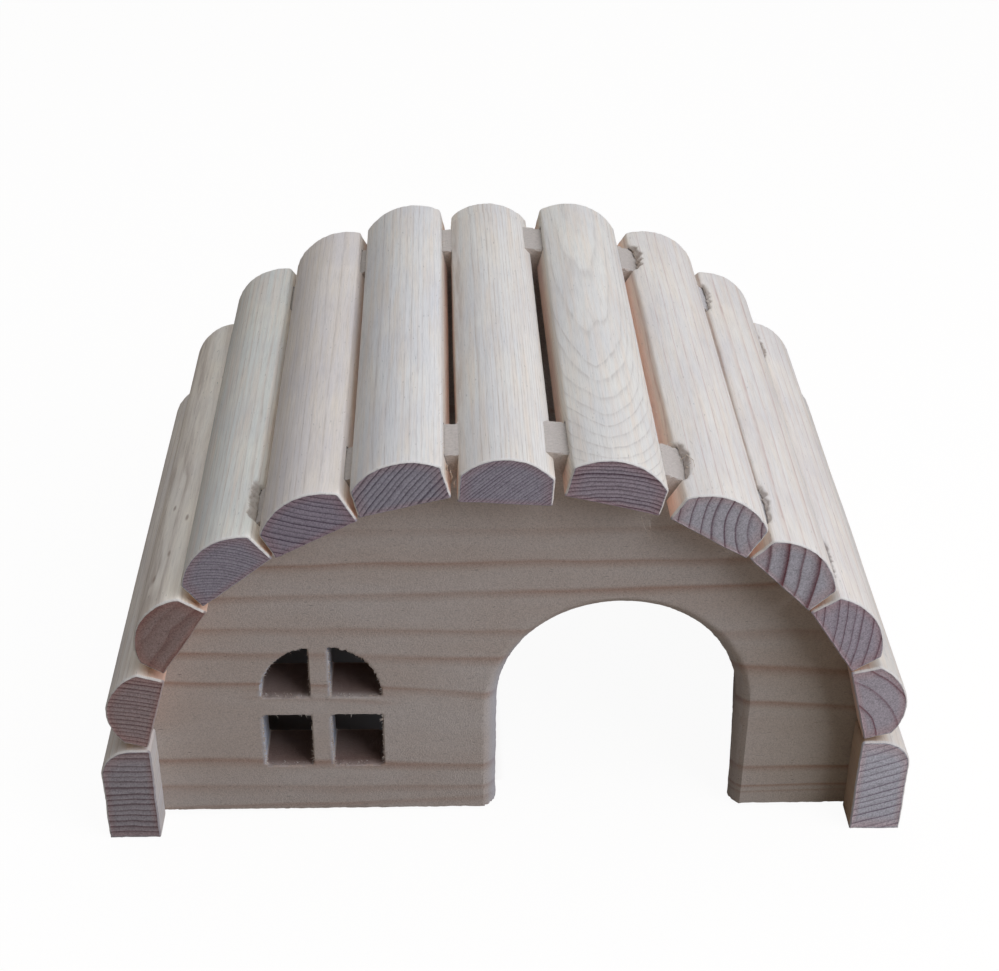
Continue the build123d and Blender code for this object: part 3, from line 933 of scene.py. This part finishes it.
# Stains on slat 2, in its grain space: place, size and strength
SLAT_02_MARKS = (
    ((-2.38, -24.8, 7.1), (0.5, 1.4, 0.8), 0.6),
    ((1.33, -31.4, 9.0), (0.5, 1.6, 0.8), 0.6),
    ((-1.24, -44.2, 7.9), (0.5, 1.5, 0.8), 0.5),
    ((-3.78, -51.3, 6.0), (0.6, 1.8, 0.9), 0.5),
    ((-4.3, -60.5, 5.4), (5.0, 7.0, 4.0), 0.3),
)
SLATS = {
    "roof_slat_01": Wood(1.15, -11, 60, (238, 231, 222), LINE, (178, 160, 156), (98, 68, 68), 0.34, 0.5),
    "roof_slat_02": Wood(
        3.4, 52, 60, (250, 242, 229), LINE, (160, 138, 130), (140, 112, 104), 1.0, 2.5,
        flecks=0.3, marks=SLAT_02_MARKS,
    ),
    "roof_slat_03": Wood(0.72, -9, 20, (226, 225, 217), LINE, (170, 164, 171), (110, 98, 110), 0.2, 0.5),
    "roof_slat_04": Wood(1.2, -13, -70, (230, 222, 216), LINE, (164, 154, 163), (70, 56, 70), 0.25, 0.5),
    "roof_slat_05": Wood(1.1, 53, 110, (229, 226, 222), (205, 195, 186), MID_END, (64, 52, 68), 0.3, 0.6),
    "roof_slat_06": Wood(0.64, 40, 120, (230, 226, 220), LINE, MID_END, (110, 96, 110), 0.2, 0.4),
    "roof_slat_07": Wood(
        0.95, -6, 48, (231, 227, 220), (208, 199, 188), (180, 168, 174), (78, 58, 68), 0.34, 1.1,
        swell=10, flank=(0.9, 0.68, 0.6, 1.0),
    ),
    "roof_slat_08": Wood(
        2.5, 85, 17, PALE, RED_LINE, RIGHT_END, (104, 72, 84), 0.35, 0.6, flank=(1.2, 0.91, 0.78, 1.0)
    ),
    "roof_slat_09": Wood(3.7, 84, -60, PALE, RED_LINE, RIGHT_END, (104, 56, 62), 0.7, 0.8),
    "roof_slat_10": Wood(2.1, 86, -70, PALE, RED_LINE, (184, 174, 181), (110, 78, 88), 0.3, 0.5),
    "roof_slat_11": Wood(4.2, -48, 18, (220, 215, 208), RED_LINE, (190, 181, 186), (126, 84, 92), 0.4, 0.8),
}
RAILS = {
    "side_rail_left": Wood(
        1.7, 0, 160, PALE, LINE, (173, 166, 168), (98, 74, 76), 0.42, 1.2, flank=(0.92, 0.95, 1.0, 1.0)
    ),
    "side_rail_right": Wood(
        1.9, 20, -140, PALE, LINE, (205, 203, 208), (124, 108, 122), 0.28, 0.6, flank=(0.62, 0.5, 0.4, 1.0)
    ),
}
USUAL_FUZZ = 160  # hairs on a board's shoulders
FUZZ_AMOUNT = {"roof_slat_05": 260, "roof_slat_06": 420, "roof_slat_07": 260}
CURLED_SPLINTER = (
    (37.4, -50.5, 92.6),
    (38.4, -53.5, 93.9),
    (38.0, -56.0, 93.6),
    (36.4, -56.6, 92.4),
    (35.6, -55.4, 92.9),
)
# Fibres hanging off torn edges: points from root to tip, and radius
LOOSE_STRANDS = (
    (CURLED_SPLINTER, 0.22),
    (((36.4, -47.0, 92.0), (37.6, -48.2, 94.2), (38.6, -51.0, 94.6), (39.0, -54.5, 93.4)), 0.16),
    (((33.5, -43.4, 92.6), (34.6, -43.0, 94.3), (36.0, -43.6, 94.2), (36.6, -45.4, 92.8)), 0.12),
    (((26.8, -62.6, 88.2), (27.6, -62.9, 85.6), (28.9, -62.8, 83.2), (29.6, -62.4, 81.2)), 0.05),
    (((28.6, -62.8, 87.4), (28.9, -63.0, 85.4), (28.4, -62.9, 83.6)), 0.04),
    (((-14.0, -57.6, 94.6), (-13.6, -58.2, 96.6), (-13.3, -58.6, 98.2), (-13.6, -59.0, 99.4)), 0.3),
    (((-12.6, -58.6, 94.4), (-12.3, -59.4, 96.2), (-12.7, -60.0, 97.8), (-12.5, -60.6, 98.8)), 0.26),
    (((-11.8, -60.4, 94.2), (-11.9, -61.2, 95.8), (-11.5, -61.6, 97.2)), 0.2),
)
WEAR = {
    "roof_slat_03": Wear(torn_right=(0.6, 0)),
    "roof_slat_06": Wear(step=57.2),
    "roof_slat_08": Wear(torn_left=(1.5, 1.6), teeth=1.7),
    "roof_slat_09": Wear(torn_left=(0.65, 0.6)),
    "roof_slat_10": Wear(torn_left=(0.4, 0.3)),
}
PANELS = {"front_panel": (FRONT_VOXEL, FRONT_BANDS), "back_panel": (BACK_VOXEL, BACK_BANDS)}
LOOSE_FIBRE = loose_fibre_material()


def dress(piece, node, material, replaces=True):
    """Gives a piece its material and body, and takes a CAD node's place unless it is loose fibre."""
    piece.data.materials.append(material)
    if replaces:
        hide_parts(node)
    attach(piece, BODY)


for number, (node, wood) in enumerate({**SLATS, **RAILS}.items(), start=1):
    piece, edges, edge_normals = board(node, WEAR.get(node, Wear()), seed=10 * number)
    dress(piece, node, softwood(f"{node}_pine", wood))
    fuzz = board_fuzz(node, edges, edge_normals, FUZZ_AMOUNT.get(node, USUAL_FUZZ), seed=number)
    dress(fuzz, node, LOOSE_FIBRE, replaces=False)

for number, (node, (voxel, bands)) in enumerate(PANELS.items(), start=1):
    piece = panel(node, voxel, seed=300 + 10 * number)
    dress(piece, node, flat_sawn(f"{node}_pine", bands, WINDOW_BANDS))
dress(window_fuzz(seed=50), "front_panel", LOOSE_FIBRE, replaces=False)
splinters = strand_mesh("loose_strands", LOOSE_STRANDS)
dress(splinters, "roof_slat_08", LOOSE_FIBRE, replaces=False)

# ---- Floor, light and camera: lengths in metres ----

FLOOR_REACH = 3.0
FLOOR = (168, 160, 152)
DARK_FLOOR = (120, 120, 120)  # painted shade on the floor between the panels, on the left, where little light gets in
DARK_DEPTH = 0.045  # from the middle towards each panel
DARK_LEFT = -0.08
DARK_FADE = 0.030  # how far left of the middle it starts to fade
FLOOR_GLOW = 1.12
GLOW_SHARE = 0.85  # how much of the floor that the camera sees is its own white glow
SKY = (255, 228, 208)
SKY_STRENGTH = 0.07
# Name, place, aim, size, watts and colour
LAMPS = (
    ("window", (0.60, -0.46, 0.64), (0, 0, 0.04), (0.65, 0.8), 6.4, (236, 241, 255)),
    ("overhead", (0.0, 0.10, 1.0), (0, 0, 0.05), (0.9, 0.9), 4.8, (234, 243, 255)),
)


def add_floor():
    """A floor that takes the house's light and colour, but looks nearly white to the camera, with painted
    shade inside the house's left half.
    """
    mesh = bpy.data.meshes.new("floor")
    corners = [(x * FLOOR_REACH, y * FLOOR_REACH, 0) for x, y in ((-1, -1), (1, -1), (1, 1), (-1, 1))]
    mesh.from_pydata(corners, [], [(0, 1, 2, 3)])
    floor = new_object("floor", mesh)
    material, t, shader = new_material("floor")
    shader.inputs["Roughness"].default_value = 0.9
    glow = t.node("ShaderNodeEmission")
    glow.inputs["Color"].default_value = (1, 1, 1, 1)
    glow.inputs["Strength"].default_value = FLOOR_GLOW
    place = t.split(t.node("ShaderNodeNewGeometry").outputs["Position"])
    # Painted shade: the floor inside the house's left half is darker and gets no glow
    left_half = t.ramp(t.math("MULTIPLY_ADD", place["X"], 1 / DARK_FADE, 1.0), (0.0, 1.0), (1.0, 0.0))
    between_panels = t.math("LESS_THAN", t.math("ABSOLUTE", place["Y"]), DARK_DEPTH)
    right_of_rail = t.math("GREATER_THAN", place["X"], DARK_LEFT)
    dark = t.math("MULTIPLY", left_half, t.math("MULTIPLY", between_panels, right_of_rail))
    t.feed(shader.inputs["Base Color"], t.mix(dark, colour(*FLOOR), colour(*DARK_FLOOR)))
    paths = t.node("ShaderNodeLightPath")
    seen = t.math("MULTIPLY", paths.outputs["Is Camera Ray"], GLOW_SHARE)
    mixed = t.node("ShaderNodeMixShader")
    t.feed(mixed.inputs[0], t.math("MULTIPLY", seen, t.math("SUBTRACT", 1.0, dark)))
    t.feed(mixed.inputs[1], shader.outputs[0])
    t.feed(mixed.inputs[2], glow.outputs[0])
    t.feed(material.node_tree.nodes["Material Output"].inputs["Surface"], mixed.outputs[0])
    mesh.materials.append(material)


def add_world():
    """A faint warm light from all sides, behind which the camera sees plain white."""
    world = bpy.data.worlds.new("studio")
    bpy.context.scene.world = world
    world.use_nodes = True
    t = Tree(world.node_tree)
    paths = t.node("ShaderNodeLightPath").outputs
    soft = world.node_tree.nodes["Background"]
    soft.inputs["Color"].default_value = colour(*SKY)
    soft.inputs["Strength"].default_value = SKY_STRENGTH
    white = t.node("ShaderNodeBackground")
    white.inputs["Color"].default_value = (1, 1, 1, 1)
    seen = t.math("MAXIMUM", paths["Is Camera Ray"], paths["Is Glossy Ray"])
    seen = t.math("MAXIMUM", seen, paths["Is Transmission Ray"])
    mixed = t.node("ShaderNodeMixShader")
    t.feed(mixed.inputs[0], seen)
    t.feed(mixed.inputs[1], soft.outputs[0])
    t.feed(mixed.inputs[2], white.outputs[0])
    t.feed(world.node_tree.nodes["World Output"].inputs["Surface"], mixed.outputs[0])


def add_lamp(name, place, aim, size, watts, tint):
    data = bpy.data.lights.new(name, "AREA")
    data.shape = "RECTANGLE"
    data.size, data.size_y = size
    data.energy = watts
    data.color = colour(*tint)[:3]
    lamp = new_object(name, data)
    lamp.location = place
    lamp.rotation_mode = "QUATERNION"
    lamp.rotation_quaternion = (Vector(aim) - Vector(place)).to_track_quat("-Z", "Y")


def add_camera():
    yaw, pitch, roll = (math.radians(a) for a in (CAMERA_YAW, CAMERA_PITCH, CAMERA_ROLL))
    ahead = Vector((math.sin(yaw) * math.cos(pitch), math.cos(yaw) * math.cos(pitch), -math.sin(pitch)))
    level = Vector((math.cos(yaw), -math.sin(yaw), 0))
    down = ahead.cross(level)
    right = level * math.cos(roll) + down * math.sin(roll)
    up = level * math.sin(roll) - down * math.cos(roll)
    data = bpy.data.cameras.new("camera")
    data.sensor_width = 36
    data.lens = data.sensor_width * FOCAL_PIXELS / max(PHOTO_SIZE)
    data.clip_start = 0.01
    camera = new_object("camera", data)
    turn = Matrix((right, up, -ahead)).transposed()
    camera.matrix_world = Matrix.Translation(Vector(CAMERA_PLACE) * MM) @ turn.to_4x4()
    bpy.context.scene.camera = camera


add_floor()
add_world()
for lamp in LAMPS:
    add_lamp(*lamp)
add_camera()
bpy.context.scene.view_settings.view_transform = "Standard"
